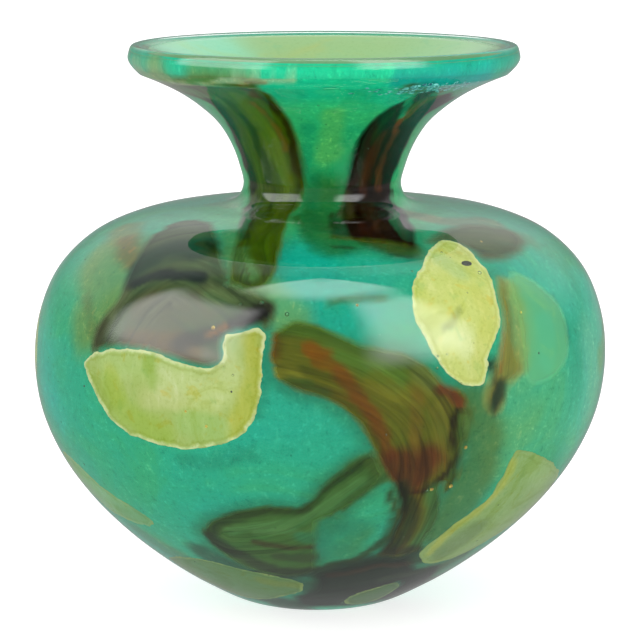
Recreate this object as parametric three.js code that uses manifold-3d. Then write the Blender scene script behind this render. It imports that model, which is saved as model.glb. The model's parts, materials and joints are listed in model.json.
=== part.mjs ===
// Hand blown vase of layered glass: a round body, a narrow neck and a wide flared mouth.
// Millimetres, +Z up, standing on z = 0, front towards -Y.
// The wall is three cups of glass, one inside the other: pale lining, turquoise, clear casing.
// Chips of cream glass and drawn trails of brown glass lie in pockets of the turquoise cup.
import * as THREE from "three";
import { mergeVertices } from "three/addons/utils/BufferGeometryUtils.js";
import Module from "manifold-3d";

const wasm = await Module();
wasm.setup();

// Driving sizes of the blown shape
const HEIGHT = 132;
const BODY_RADIUS = 67.8;
const BODY_HEIGHT = 58; // where the body is widest
const FOOT_RADIUS = 18.5;
const NECK_RADIUS = 18.7;
const MOUTH_RADIUS = 46;
const LEAN = 0.013; // sideways drift of the axis per millimetre of height

// The base is ground flat, with a shallow polished dish where the iron broke off
const DISH_RADIUS = 9;
const DISH_DEPTH = 0.8;

// Depths of the layers below the outer surface; faces that touch keep FIT between them
const FIT = 0.3;
const CASING = 2.2;
const GROUND = 1.8;
const LINING = 1.6;
const INLAY = 0.8;
const groundTop = CASING + FIT;
const groundFloor = groundTop + GROUND;
const liningTop = groundFloor + FIT;
const liningFloor = liningTop + LINING;
const BASE_SWELL = 0.55; // every layer is this much thicker at the middle of the base
const SWELL_HEIGHT = 16; // and back to its own thickness at this height

// Flat stretches that each curve is cut into
const SEGMENTS = 36; // round the axis
const BELLY_STEPS = 7;
const SHOULDER_STEPS = 6;
const NECK_STEPS = 8;
const LIP_STEPS = 7;
const OUTLINE_STEPS = 32; // round a chip or a trail

const WELD_GAP = 1e-4; // corners closer than this are one corner
const REACH = 90; // longer than any radius, so that a prism leaves the vase

const point = (x, y) => new THREE.Vector2(x, y);

const widest = point(BODY_RADIUS, BODY_HEIGHT);
const neckRoot = point(22, 94.9);

// The outer surface from the middle of the base up to the underside of the lip.
function outerLine() {
  const belly = new THREE.CubicBezierCurve(
    point(FOOT_RADIUS, 0),
    point(FOOT_RADIUS + 3, 0.3),
    point(BODY_RADIUS, 23),
    widest,
  );
  const shoulder = new THREE.CubicBezierCurve(
    widest,
    point(BODY_RADIUS, 97.5),
    point(29.5, 93),
    neckRoot,
  );
  const neck = new THREE.SplineCurve([
    neckRoot,
    point(19.3, 96.3),
    point(NECK_RADIUS, 98.5),
    point(20.4, 106),
    point(25, 114),
    point(33.9, 121),
    point(43.5, 125.4),
  ]);
  return [
    point(0, DISH_DEPTH),
    point(DISH_RADIUS, 0),
    ...belly.getSpacedPoints(BELLY_STEPS),
    ...shoulder.getSpacedPoints(SHOULDER_STEPS).slice(1),
    ...neck.getSpacedPoints(NECK_STEPS).slice(1),
  ];
}

// The same line moved into the wall, square to the surface.
function sunkLine(line, depth) {
  return line.map((p, i) => {
    const before = line[Math.max(i - 1, 0)];
    const after = line[Math.min(i + 1, line.length - 1)];
    const along = after.clone().sub(before).normalize();
    const swell = 1 + BASE_SWELL * Math.max(0, 1 - p.y / SWELL_HEIGHT);
    const radius = i === 0 ? 0 : p.x - along.y * depth * swell;
    const height = i === 0 ? depth * swell + p.y / 2 : p.y + along.x * depth * swell;
    return point(radius, height);
  });
}

function asSolid(geometry) {
  const bare = geometry.clone();
  bare.deleteAttribute("normal");
  bare.deleteAttribute("uv");
  const merged = mergeVertices(bare, WELD_GAP);
  return new wasm.Manifold(
    new wasm.Mesh({
      numProp: 3,
      vertProperties: merged.attributes.position.array,
      triVerts: new Uint32Array(merged.index.array),
    }),
  );
}

function turned(profile) {
  return asSolid(new THREE.LatheGeometry(profile, SEGMENTS).rotateX(Math.PI / 2));
}

const outer = outerLine();

// A cup of glass that fills the wall between two depths, open at the mouth.
function cup(topDepth, floorDepth) {
  return turned([...sunkLine(outer, topDepth), ...sunkLine(outer, floorDepth).reverse()]);
}

// The casing is the outside of the vase, and alone makes the rounded lip.
function casingCup() {
  const lip = new THREE.SplineCurve([
    outer.at(-1),
    point(MOUTH_RADIUS - 0.3, 127.8),
    point(MOUTH_RADIUS, 129.8),
    point(MOUTH_RADIUS - 1, HEIGHT),
    point(MOUTH_RADIUS - 3.5, HEIGHT - 0.3),
    sunkLine(outer, liningFloor).at(-1),
  ]);
  const inside = sunkLine(outer, CASING);
  return turned([...outer, ...lip.getPoints(LIP_STEPS).slice(1), ...inside.reverse()]);
}

// Outlines are drawn as seen square on from one side: across and height, in millimetres.
function smoothOutline(corners, steps) {
  const flat = corners.map(([across, height]) => new THREE.Vector3(across, height, 0));
  const curve = new THREE.CatmullRomCurve3(flat, true, "centripetal");
  return curve.getSpacedPoints(steps).slice(0, -1).map((p) => point(p.x, p.y));
}

function grown(outline, by) {
  const outward = THREE.ShapeUtils.isClockWise(outline) ? -by : by;
  return outline.map((p, i) => {
    const before = outline.at(i - 1);
    const after = outline[(i + 1) % outline.length];
    const along = after.clone().sub(before).normalize();
    return point(p.x + along.y * outward, p.y - along.x * outward);
  });
}

// A bar of the outline's section, from the axis out through the wall on one side.
function barTowards(outline, facing) {
  const bar = new THREE.ExtrudeGeometry(new THREE.Shape(outline), {
    depth: REACH,
    bevelEnabled: false,
  });
  bar.rotateX(Math.PI / 2);
  bar.rotateZ(THREE.MathUtils.degToRad(facing));
  return asSolid(bar);
}

// Chips and trails. facing turns the drawing round the axis: 0 is the front, 90 is +X.
const CREAM = 0xd2d98c;
const OLIVE = 0x5a6a1c;
const BROWN = 0x4a2f18;
const inlays = [
  {
    name: "cream_chip_left",
    color: CREAM,
    facing: 0,
    corners: [[-51, 63], [-47.5, 66.5], [-38, 68], [-31, 66.5], [-24, 65.5], [-21, 67],
      [-20.5, 69.5], [-21.8, 72], [-15, 73.5], [-11.8, 74.8], [-12.5, 68], [-12.5, 62],
      [-15.5, 52.5], [-20.5, 49.5], [-28.5, 47.5], [-36.5, 48], [-43, 50.5], [-49, 57.5]],
  },
  {
    name: "cream_chip_right",
    color: CREAM,
    facing: 0,
    corners: [[26.5, 88], [31.5, 86.5], [35.5, 83], [38, 77], [38, 71.5], [35.5, 65.5], [35, 61.5],
      [32, 61], [27, 64.5], [23, 70.5], [20, 76.5], [20, 83]],
  },
  {
    name: "cream_chip_low_right",
    color: CREAM,
    facing: 0,
    corners: [[43, 45], [48, 43], [53.5, 36.5], [52.5, 32.5], [47.5, 26], [38.5, 21], [28.5, 17.5],
      [23, 18], [22.5, 20.5], [30.5, 28.5], [37.5, 34], [40.5, 40]],
  },
  {
    name: "cream_chip_low_left",
    color: CREAM,
    facing: 0,
    corners: [[-57, 39.5], [-55, 35], [-47, 27.5], [-40.5, 26], [-36, 26.5], [-39, 29], [-48.5, 34]],
  },
  {
    name: "cream_chip_base_left",
    color: CREAM,
    facing: 0,
    corners: [[-33, 16], [-26, 18], [-17.5, 16.5], [-7.5, 14.5], [-2.5, 12], [-7.5, 9], [-13, 7],
      [-19.5, 8]],
  },
  {
    name: "cream_chip_base_right",
    color: CREAM,
    facing: 0,
    corners: [[6, 6.5], [10, 9.5], [18, 11.5], [15, 8], [10, 6]],
  },
  {
    name: "cream_chip_sunk_right",
    color: 0x8fc795,
    facing: 0,
    corners: [[40.5, 82], [45, 80.5], [50, 77], [53, 72.5], [54.5, 67], [53, 61], [48, 58.5], [44.5, 60],
      [43.5, 67], [42, 75]],
  },
  {
    name: "cream_chip_back_high",
    color: CREAM,
    facing: 205,
    corners: [[-8, 81], [6, 85], [21, 82], [26, 74], [19, 67], [10, 68.5], [3, 62], [-9, 60], [-17, 66],
      [-15, 75]],
  },
  {
    name: "cream_chip_back_low",
    color: CREAM,
    facing: 160,
    corners: [[-5, 43], [9, 46], [22, 42], [27, 34], [18, 25], [5, 21], [-8, 24], [-14, 33]],
  },
  {
    name: "cream_chip_side_left",
    color: CREAM,
    facing: 268,
    corners: [[-16, 70], [-5, 73], [6, 70], [14, 61], [9, 52], [-2, 48], [-13, 52], [-20, 61]],
  },
  {
    name: "neck_trail_left",
    color: OLIVE,
    facing: 0,
    corners: [[-36, 125.5], [-25, 122], [-19.5, 113.5], [-16, 104.5], [-15, 98], [-17, 93.5], [-18.5, 91],
      [-20, 86], [-20, 82.5], [-14, 81], [-10, 84], [-8.5, 90], [-5, 96], [-3.5, 101], [-5.5, 112],
      [-8, 119], [-11.5, 124.5], [-13.5, 126.5], [-24, 126.7], [-31, 126.5]],
  },
  {
    name: "neck_trail_right",
    color: BROWN,
    facing: 0,
    corners: [[18, 123], [12, 119], [8, 113.5], [6, 106], [5, 99.5], [3.5, 94], [1, 91], [0.5, 89],
      [12, 88], [20, 86.5], [21, 89.5], [17, 93], [14.3, 98.5], [15.5, 105], [18, 111.5], [21.5, 118],
      [30, 124], [24, 126]],
  },
  {
    name: "shoulder_trail_right",
    color: BROWN,
    facing: 0,
    corners: [[23, 88.5], [28, 89.3], [34, 89.2], [41, 88], [45.5, 85.5], [41, 84.5], [36, 85],
      [31, 87.5]],
  },
  {
    name: "smoke_trail_left",
    color: 0x33403a,
    facing: 0,
    corners: [[-49.5, 64], [-48.5, 71], [-44, 76.5], [-42, 82], [-38, 87.5], [-33, 89.5], [-23, 89.5],
      [-21, 85], [-14, 80], [-9.5, 79], [-11, 74], [-16, 71], [-20, 66.5], [-30, 64], [-40, 65.5]],
  },
  {
    name: "flame_trail_right",
    color: BROWN,
    facing: 0,
    corners: [[38.3, 81], [40, 80], [41, 76], [42, 68], [43, 62], [40, 59.5], [39, 55.5], [37, 54.5],
      [35.5, 58], [36.5, 62], [38.5, 67], [39.5, 74]],
  },
  {
    name: "centre_trail",
    color: OLIVE,
    facing: 0,
    corners: [[-11, 68.5], [-11, 72], [-7.5, 75.5], [-2, 75.5], [4, 73], [10, 70.5], [18.5, 69], [23, 66],
      [27, 61.5], [33, 59], [33, 56], [31.5, 48], [30, 41], [27, 36], [26, 30], [22, 22], [13, 21],
      [15.5, 26], [17.5, 33], [17, 38.5], [15, 42], [12, 47.5], [8.5, 54.5], [3, 59], [-2, 61],
      [-8, 62.5]],
  },
  {
    name: "leaf_trail",
    color: OLIVE,
    facing: 0,
    corners: [[11.5, 48], [5.5, 44.5], [1.5, 41.5], [-3, 35.5], [-12, 35], [-21, 32], [-25.5, 27.5],
      [-21, 21.5], [-10.5, 16], [-3, 16.5], [1, 19], [1, 26], [4, 32], [9, 37.5], [13.5, 41.5]],
  },
  {
    name: "base_trail",
    color: BROWN,
    facing: 0,
    corners: [[-1.5, 15.5], [5, 18], [13, 20], [21, 19.5], [21.5, 16], [27.5, 15.5], [23, 10], [16, 7],
      [6, 6], [-4, 6.2], [-5, 8], [-0.5, 11.5]],
  },
  {
    name: "back_neck_trail",
    color: OLIVE,
    facing: 188,
    corners: [[-10, 126], [-9, 118], [-6, 108], [-5, 98], [-7, 92], [-6, 89], [3, 89], [5, 93], [6, 99],
      [9, 108], [15, 116], [22, 124], [14, 126.5], [2, 126.6]],
  },
  {
    name: "back_sweep_trail",
    color: BROWN,
    facing: 175,
    corners: [[-34, 74], [-30, 80], [-22, 79], [-22, 66], [-14, 56.5], [0, 52], [14, 54.5], [27, 60],
      [34, 56], [28, 50], [16, 49], [0, 47.5], [-12, 49.5], [-24, 57], [-32, 65]],
  },
  {
    name: "side_trail_right",
    color: OLIVE,
    facing: 108,
    corners: [[-12, 84], [-4, 87], [3, 82], [2, 71], [7, 60], [15, 50], [16, 38], [9, 34], [5, 44],
      [-3, 54], [-9, 65], [-12, 75]],
  },
];

const layer = cup(groundTop, groundTop + INLAY);
const pocketLayer = cup(CASING, groundTop + INLAY + FIT);
const placed = [];
for (const inlay of inlays) {
  const outline = smoothOutline(inlay.corners, OUTLINE_STEPS);
  let solid = layer.intersect(barTowards(outline, inlay.facing));
  for (const earlier of placed) solid = solid.subtract(earlier.room);
  const room = pocketLayer.intersect(barTowards(grown(outline, FIT), inlay.facing));
  placed.push({ ...inlay, solid, room });
}

let ground = cup(groundTop, groundFloor);
for (const inlay of placed) ground = ground.subtract(inlay.room);

// The axis drifts sideways with height, because the neck was drawn a little off centre.
function leaned(solid) {
  const mesh = solid.getMesh();
  const geometry = new THREE.BufferGeometry();
  geometry.setAttribute("position", new THREE.BufferAttribute(mesh.vertProperties, 3));
  geometry.setIndex(new THREE.BufferAttribute(mesh.triVerts, 1));
  const place = geometry.getAttribute("position");
  for (let i = 0; i < place.count; i++) {
    place.setX(i, place.getX(i) + LEAN * (place.getZ(i) - BODY_HEIGHT));
  }
  geometry.computeVertexNormals();
  return geometry;
}

const vase = new THREE.Group();

function addPiece(name, solid, look) {
  const piece = new THREE.Mesh(leaned(solid), new THREE.MeshStandardMaterial(look));
  piece.name = name;
  vase.add(piece);
}

addPiece("clear_casing", casingCup(), {
  color: 0xe4f2ea,
  roughness: 0.04,
  metalness: 0,
  transparent: true,
  opacity: 0.35,
});
addPiece("turquoise_ground", ground, { color: 0x3fae96, roughness: 0.3, metalness: 0 });
addPiece("pale_lining", cup(liningTop, liningFloor), {
  color: 0xbfdcae,
  roughness: 0.15,
  metalness: 0,
});
for (const inlay of placed) {
  addPiece(inlay.name, inlay.solid, { color: inlay.color, roughness: 0.35, metalness: 0 });
}

export default vase;
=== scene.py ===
"""Looks for a hand blown vase of layered glass: turquoise and cream under a thick clear casing.

Metres, +Z up, standing on z = 0, front towards -Y. Every piece is laid out on the wall of the
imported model: a turn round the axis, a climb from the middle of the base, and a depth below the
outer surface.
"""

import json
import math
import random

import bmesh
import bpy
import numpy as np
from mathutils import Matrix, Vector, noise


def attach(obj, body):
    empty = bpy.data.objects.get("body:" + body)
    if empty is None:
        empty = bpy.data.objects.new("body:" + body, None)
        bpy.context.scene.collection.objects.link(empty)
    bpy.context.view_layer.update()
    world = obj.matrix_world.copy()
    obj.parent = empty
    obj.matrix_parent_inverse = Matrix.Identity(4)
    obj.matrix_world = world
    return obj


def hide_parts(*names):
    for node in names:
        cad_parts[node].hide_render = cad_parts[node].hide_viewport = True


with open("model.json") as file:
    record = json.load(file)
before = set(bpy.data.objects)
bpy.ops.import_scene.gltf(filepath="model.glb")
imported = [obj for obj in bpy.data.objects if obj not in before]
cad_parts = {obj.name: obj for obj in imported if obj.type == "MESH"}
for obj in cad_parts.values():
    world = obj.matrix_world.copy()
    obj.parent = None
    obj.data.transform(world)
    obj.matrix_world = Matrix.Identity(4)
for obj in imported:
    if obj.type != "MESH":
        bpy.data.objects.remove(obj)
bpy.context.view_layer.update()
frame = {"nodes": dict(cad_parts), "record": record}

MM = 0.001

# Depths below the outer surface. Fused layers share one face, so the hidden face of each piece
# is sunk a little into the piece that lies under it.
WALL_DEPTH = 6.2 * MM
CHIP_FACE = 2.34 * MM
TRAIL_FACE = 2.42 * MM
GROUND_FACE = 2.5 * MM
CASING_BACK = 3.0 * MM
INLAY_BACK = 3.3 * MM
GROUND_BACK = 4.8 * MM
LINING_FACE = 4.3 * MM

WELD_GAP = 1e-6
ON_AXIS = 1e-5
FAR = 1e9
FINE_STEPS = 1600


# ---------------------------------------------------------------- the wall, read from the frame


def merged_copy(node):
    copy = bmesh.new()
    copy.from_mesh(frame["nodes"][node].data)
    bmesh.ops.remove_doubles(copy, verts=copy.verts, dist=WELD_GAP)
    return copy


def axis_drift():
    """How far the axis moves in x for each step up, and where it starts."""
    casing = merged_copy("clear_casing")
    spots = np.array([v.co for v in casing.verts])
    casing.free()
    return np.polyfit(spots[:, 2], spots[:, 0], 1)


LEAN, LEAN_START = axis_drift()


def section(node):
    """Half of a cup's section, from the axis under the base, up outside and down inside."""
    cup = merged_copy(node)
    across = {v: v.co.x - LEAN * v.co.z - LEAN_START for v in cup.verts if abs(v.co.y) < WELD_GAP}
    here = min((v for v in across if abs(across[v]) < ON_AXIS), key=lambda v: v.co.z)
    line = [here]
    while here:
        ways = [e.other_vert(here) for e in here.link_edges]
        here = next((v for v in ways if across.get(v, -1) > -ON_AXIS and v not in line), None)
        if here:
            line.append(here)
    spots = np.array([(max(across[v], 0.0), v.co.z) for v in line])
    cup.free()
    return spots


def flowing(points, places):
    """A smooth line through the points, read at fractional places along their list."""
    last = len(points) - 1
    first = np.clip(np.floor(places).astype(int), 0, last - 1)
    t = (places - first)[:, None]
    before, start = points[np.clip(first - 1, 0, last)], points[first]
    end, after = points[first + 1], points[np.clip(first + 2, 0, last)]
    bend = 2 * before - 5 * start + 4 * end - after
    twist = 3 * start - 3 * end + after - before
    return 0.5 * (2 * start + (end - before) * t + bend * t**2 + twist * t**3)


casing_line = section("clear_casing")
lining_line = section("pale_lining")
LEVELS = len(lining_line) // 2
outside_points = casing_line[:LEVELS]
bore_points = lining_line[LEVELS:][::-1]
lip_points = casing_line[LEVELS - 1 : len(casing_line) - LEVELS]
LIP_STEPS = 40

FINE = np.linspace(0, LEVELS - 1, FINE_STEPS)
fine_outside = flowing(outside_points, FINE)
fine_outside[:, 1] = np.maximum(fine_outside[:, 1], 0)
fine_bore = flowing(bore_points, FINE)
fine_climb = np.concatenate([[0], np.cumsum(np.hypot(*np.diff(fine_outside, axis=0).T))])
TOP_CLIMB = fine_climb[-1]


def wall_line(climbs, depths):
    """Radius and height on the wall, at a climb and a depth."""
    share = np.asarray(depths) / WALL_DEPTH
    out = np.stack([np.interp(climbs, fine_climb, fine_outside[:, k]) for k in (0, 1)], -1)
    bore = np.stack([np.interp(climbs, fine_climb, fine_bore[:, k]) for k in (0, 1)], -1)
    return out + (bore - out) * np.reshape(share, (-1, 1) if np.ndim(share) else ())


def on_wall(turns, climbs, depths):
    """Points in space on the wall; a turn of 0 is the front and a quarter turn is +X."""
    line = wall_line(climbs, depths)
    x = line[:, 0] * np.sin(turns) + LEAN * line[:, 1] + LEAN_START
    return np.stack([x, -line[:, 0] * np.cos(turns), line[:, 1]], -1)


def unrolled(spots):
    """Turn and climb of points in space that lie near the face of the turquoise ground."""
    spots = np.asarray(spots)
    across = spots[:, 0] - LEAN * spots[:, 2] - LEAN_START
    turns = np.arctan2(across, -spots[:, 1])
    radii = np.hypot(across, spots[:, 1])
    line = wall_line(fine_climb, GROUND_FACE)
    gap = (radii[:, None] - line[:, 0]) ** 2 + (spots[:, 2][:, None] - line[:, 1]) ** 2
    nearest = np.argmin(gap, axis=1)
    return turns, fine_climb[nearest]


def seen_at(across, height, facing=0.0):
    """Point of the ground that shows at this place in a square-on drawing from one side, in mm."""
    line = wall_line(fine_climb, GROUND_FACE)
    drift = LEAN * height * MM + LEAN_START
    sideways = across * MM - drift * math.cos(math.radians(facing))
    climb = np.interp(height * MM, np.maximum.accumulate(line[:, 1]), fine_climb)
    radius = wall_line(np.array([climb]), GROUND_FACE)[0, 0]
    turn = math.asin(max(-1.0, min(1.0, sideways / radius))) + math.radians(facing)
    return on_wall(np.array([turn]), np.array([climb]), GROUND_FACE)[0]


# ---------------------------------------------------------------- shader shorthand


class Reading:
    """A shader socket that arithmetic can be written with: each operator adds a Math node."""

    def __init__(self, glass, socket):
        self.glass, self.socket = glass, socket

    def _math(self, operation, *values):
        made = self.glass.node("ShaderNodeMath", {"operation": operation})
        for socket, value in zip(made.inputs, values):
            self.glass.feed(socket, value)
        return Reading(self.glass, made.outputs[0])

    def __add__(self, other):
        return self._math("ADD", self, other)

    def __sub__(self, other):
        return self._math("SUBTRACT", self, other)

    def __rsub__(self, other):
        return self._math("SUBTRACT", other, self)

    def __mul__(self, other):
        return self._math("MULTIPLY", self, other)

    def __neg__(self):
        return self._math("MULTIPLY", self, -1.0)

    __radd__ = __add__
    __rmul__ = __mul__

    def arctan2(self, other):
        return self._math("ARCTAN2", self, other)

    def arcsine(self):
        return self._math("ARCSINE", self)


class Glass:
    """One material, or the room's light, and its nodes."""

    def __init__(self, name, holder=None):
        self.material = holder or bpy.data.materials.new(name)
        self.material.use_nodes = True
        self.tree = self.material.node_tree
        self.tree.nodes.clear()

    def feed(self, socket, value):
        if isinstance(value, Reading):
            value = value.socket
        if isinstance(value, bpy.types.NodeSocket):
            self.tree.links.new(value, socket)
        else:
            socket.default_value = value

    def node(self, kind, settings=None, values=None):
        made = self.tree.nodes.new(kind)
        for key, value in (settings or {}).items():
            setattr(made, key, value)
        for key, value in (values or {}).items():
            self.feed(made.inputs[key], value)
        return made

    def attribute(self, name, part="Fac"):
        made = self.node("ShaderNodeAttribute", {"attribute_name": name})
        return Reading(self, made.outputs[part])

    def spot(self):
        return Reading(self, self.node("ShaderNodeTexCoord").outputs["Object"])

    def stretched(self, vector, scale):
        made = self.node("ShaderNodeMapping", {}, {"Vector": vector, "Scale": scale})
        return Reading(self, made.outputs["Vector"])

    def cloud(self, vector, scale, detail=3.0, roughness=0.55, distortion=0.0):
        """Soft noise from 0 to 1 that is centred on 0.5."""
        values = {
            "Vector": vector,
            "Scale": scale,
            "Detail": detail,
            "Roughness": roughness,
            "Distortion": distortion,
        }
        return Reading(self, self.node("ShaderNodeTexNoise", {}, values).outputs["Fac"])

    def between(self, value, low, high):
        """0 at low, 1 at high, and smooth between."""
        settings = {"interpolation_type": "SMOOTHSTEP"}
        values = {"Value": value, "From Min": low, "From Max": high}
        made = self.node("ShaderNodeMapRange", settings, values)
        return Reading(self, made.outputs["Result"])

    def mixed(self, share, first, second, blend="MIX"):
        """The second colour laid over the first."""
        made = self.node("ShaderNodeMix", {"data_type": "RGBA", "blend_type": blend})
        self.feed(made.inputs[0], share)
        self.feed(made.inputs[6], first)
        self.feed(made.inputs[7], second)
        return Reading(self, made.outputs[2])

    def touched(self, colour, *touches):
        """The colour with soft touches: each is a share, and a factor for red, green and blue."""
        for share, factor in touches:
            colour = self.mixed(share, colour, (*factor, 1.0), "MULTIPLY")
        return colour

    def mirrored(self):
        """1 where the room is seen in the gloss of the vase, which is dimmer than its light."""
        path = self.node("ShaderNodeLightPath")
        return Reading(self, path.outputs["Is Reflection Ray"]) * path.outputs["Is Glossy Ray"]

    def finish(self, shader, output="ShaderNodeOutputMaterial"):
        out = self.node(output)
        self.tree.links.new(shader, out.inputs["Surface"])
        return self.material


def rgb(red, green, blue):
    """A colour given by its screen values from 0 to 255, made linear."""
    shares = (red / 255, green / 255, blue / 255)
    linear = [c / 12.92 if c <= 0.04045 else ((c + 0.055) / 1.055) ** 2.4 for c in shares]
    return (*linear, 1.0)


# ---------------------------------------------------------------- finishes


GLASS_IOR = 1.5
AIR_IN_GLASS_IOR = 0.667
CASING_SHEEN = 0.22  # less than half as glossy as bare glass, from a soft film of handling
PAINTED_THROUGH_GLOW = 0.25  # painted glow: emission that stands in for light that reaches a colour through the wall from behind


def see_through(name, tint, ior, shade, **more):
    """Glass or air that light shines straight through, so that it only shades what is under it."""
    glass = Glass(name)
    values = {"Base Color": tint, "Roughness": 0.0, "IOR": ior, "Transmission Weight": 1.0, **more}
    body = glass.node("ShaderNodeBsdfPrincipled", {}, values)
    light = glass.node("ShaderNodeBsdfTransparent", {}, {"Color": shade})
    shadow = glass.node("ShaderNodeLightPath").outputs["Is Shadow Ray"]
    inputs = {0: shadow, 1: body.outputs[0], 2: light.outputs[0]}
    return glass.finish(glass.node("ShaderNodeMixShader", {}, inputs).outputs[0])


def clear_glass():
    """The thick clear casing."""
    tint, shade = (0.93, 0.985, 0.955, 1.0), (0.97, 0.99, 0.98, 1.0)
    sheen = {"Specular IOR Level": CASING_SHEEN}
    return see_through("clear casing glass", tint, GLASS_IOR, shade, **sheen)


def trapped_air():
    """A bubble in the glass: the step from glass back to air."""
    return see_through("trapped air", (0.97, 1.0, 0.99, 1.0), AIR_IN_GLASS_IOR, (0.9, 0.95, 0.95, 1.0))


def opal(glass, colour, alpha=None, roughness=0.6, specular=0.0, glow=PAINTED_THROUGH_GLOW):
    """Finishes a glass that hides what is behind it and glows a little, a painted glow for light let
    through.
    """
    values = {
        "Base Color": colour,
        "Roughness": roughness,
        "Specular IOR Level": specular,
        "Emission Color": colour,
        "Emission Strength": glow,
    }
    if alpha is not None:
        values["Alpha"] = alpha
    return glass.finish(glass.node("ShaderNodeBsdfPrincipled", {}, values).outputs[0])


def turquoise_glass():
    """Powder colour: a fine mottled grain, with cloudier and greener patches."""
    glass = Glass("turquoise powder glass")
    spot = glass.spot()
    paint = glass.attribute("paint", "Color")
    cloud = glass.cloud(spot, 34.0, 4.0, 0.6, 0.8)
    wisp = glass.cloud(glass.stretched(spot, (1.0, 1.0, 2.6)), 90.0, 4.0, 0.62, 1.4)
    hair = glass.cloud(glass.stretched(spot, (1.0, 1.0, 0.3)), 420.0, 3.0, 0.6, 0.5)
    grain = glass.cloud(spot, 620.0, 3.0)
    speckle = glass.cloud(spot, 1900.0, 1.0)
    lift = (grain - 0.5) * 0.6 + (speckle - 0.5) * 0.4
    toned = glass.touched(
        paint,
        (glass.between(cloud, 0.48, 0.7) * 0.6, (1.9, 1.0, 0.68)),
        (glass.between(cloud, 0.5, 0.3) * 0.5, (0.6, 1.02, 1.3)),
        (glass.between(wisp, 0.54, 0.74) * 0.3, (2.0, 1.3, 1.2)),
        (glass.between(wisp, 0.46, 0.3) * 0.35, (0.6, 0.72, 0.72)),
        (glass.between(lift, 0.02, 0.25) * 0.7, (2.4, 1.45, 1.5)),
        (glass.between(-lift, 0.02, 0.25) * 0.7, (0.4, 0.6, 0.64)),
        (glass.between(hair, 0.6, 0.74) * 0.5, (2.6, 1.35, 1.3)),
        (glass.between(hair, 0.4, 0.28) * 0.4, (0.5, 0.7, 0.72)),
    )
    return opal(glass, toned)


def cream_glass(name, pale_edge):
    """A chip of cream glass: brushed and mottled inside, with a frayed pale edge."""
    glass = Glass(name)
    spot = glass.spot()
    rim = glass.attribute("rim")
    paint = glass.attribute("paint", "Color")
    mottle = glass.cloud(spot, 75.0, 5.0, 0.65, 0.9)
    brushed = glass.cloud(glass.stretched(spot, (1.0, 1.0, 0.2)), 700.0, 3.0)
    blotch = glass.cloud(spot, 260.0, 3.0, 0.6, 0.4)
    grain = glass.cloud(spot, 1500.0, 2.0)
    toned = glass.touched(
        paint,
        (glass.between(mottle, 0.5, 0.66) * 0.7, (0.86, 0.88, 0.5)),
        (glass.between(mottle, 0.56, 0.6) * 0.25, (0.8, 0.82, 0.66)),
        (glass.between(mottle, 0.5, 0.3) * 0.6, (1.16, 1.1, 1.45)),
        (glass.between(blotch, 0.58, 0.7) * 0.6, (1.02, 0.84, 0.36)),
        (glass.between(blotch, 0.42, 0.3) * 0.5, (0.72, 0.88, 0.8)),
        (glass.between(brushed, 0.5, 0.72) * 0.5, (1.18, 1.12, 1.4)),
        (glass.between(grain, 0.5, 0.72) * 0.45, (0.78, 0.82, 0.6)),
    )
    ragged = rim + (mottle - 0.5) * 2.6 + (blotch - 0.5) * 1.2 + (grain - 0.5) * 0.8
    lit = glass.between(ragged, -1.0, -0.3)
    broken = glass.between(blotch, 0.36, 0.62)
    toned = glass.mixed(lit * (broken * 0.4 + 0.12), toned, pale_edge)
    fold = glass.between(ragged, -1.9, -1.25) * (1.0 - glass.between(ragged, -1.2, -0.8))
    toned = glass.touched(toned, (fold * 0.5, (0.8, 0.8, 0.5)))
    crisp = glass.between(rim, -0.5, -0.15)
    toned = glass.mixed(crisp * broken * 0.25, toned, pale_edge)
    return opal(glass, toned)


def trail_glass(name, light, warm, soft=1.3, body=1.0):
    """Drawn glass: streaks along the pull, a darker skin near the edge, edges that melt away."""
    glass = Glass(name)
    spot = glass.spot()
    rim = glass.attribute("rim")
    paint = glass.attribute("paint", "Color")
    pull = glass.attribute("pull", "Vector")
    broad = glass.cloud(glass.stretched(pull, (26.0, 170.0, 0.0)), 1.0, 3.0, 0.6, 1.3)
    wide = glass.cloud(glass.stretched(pull, (34.0, 420.0, 0.0)), 1.0, 4.0, 0.62, 1.0)
    fine = glass.cloud(glass.stretched(pull, (70.0, 1700.0, 0.0)), 1.0, 3.0, 0.6, 0.5)
    grain = glass.cloud(spot, 1500.0, 2.0)
    frayed = rim + (wide - 0.5) * 1.8 + (fine - 0.5) * 0.6
    skin = glass.between(frayed, -2.4 - soft, -0.9 - soft * 0.5) * (1.0 - glass.between(frayed, -0.4, 0.6))
    toned = glass.touched(
        paint,
        (glass.between(broad, 0.52, 0.7) * 0.5, warm),
        (glass.between(broad, 0.48, 0.32) * 0.6, (0.72, 1.1, 1.2)),
        (glass.between(wide, 0.5, 0.66) * 0.7, (0.42, 0.45, 0.42)),
        (glass.between(wide, 0.48, 0.32) * 0.6, light),
        (glass.between(fine, 0.52, 0.7) * 0.5, (0.5, 0.5, 0.5)),
        (glass.between(fine, 0.46, 0.3) * 0.35, light),
        (glass.between(grain, 0.5, 0.8) * 0.25, light),
        (skin * 0.5, (0.5, 0.52, 0.5)),
    )
    cover = 1.0 - glass.between(frayed, -soft, soft * 0.6)
    thin = glass.attribute("thin")
    return opal(glass, toned, alpha=cover * body * (1.0 - thin))


def sunk_glass():
    """Thin pale green glass that lies deep and only tints the ground."""
    glass = Glass("sunk pale green glass")
    rim = glass.attribute("rim")
    paint = glass.attribute("paint", "Color")
    cloud = glass.cloud(glass.spot(), 150.0, 4.0, 0.6, 0.6)
    ragged = rim + (cloud - 0.5) * 1.5
    toned = glass.mixed(glass.between(cloud, 0.5, 0.7) * 0.5, paint, rgb(128, 186, 116))
    return opal(glass, toned, alpha=(1.0 - glass.between(ragged, -2.2, 0.2)) * 0.6)


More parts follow.
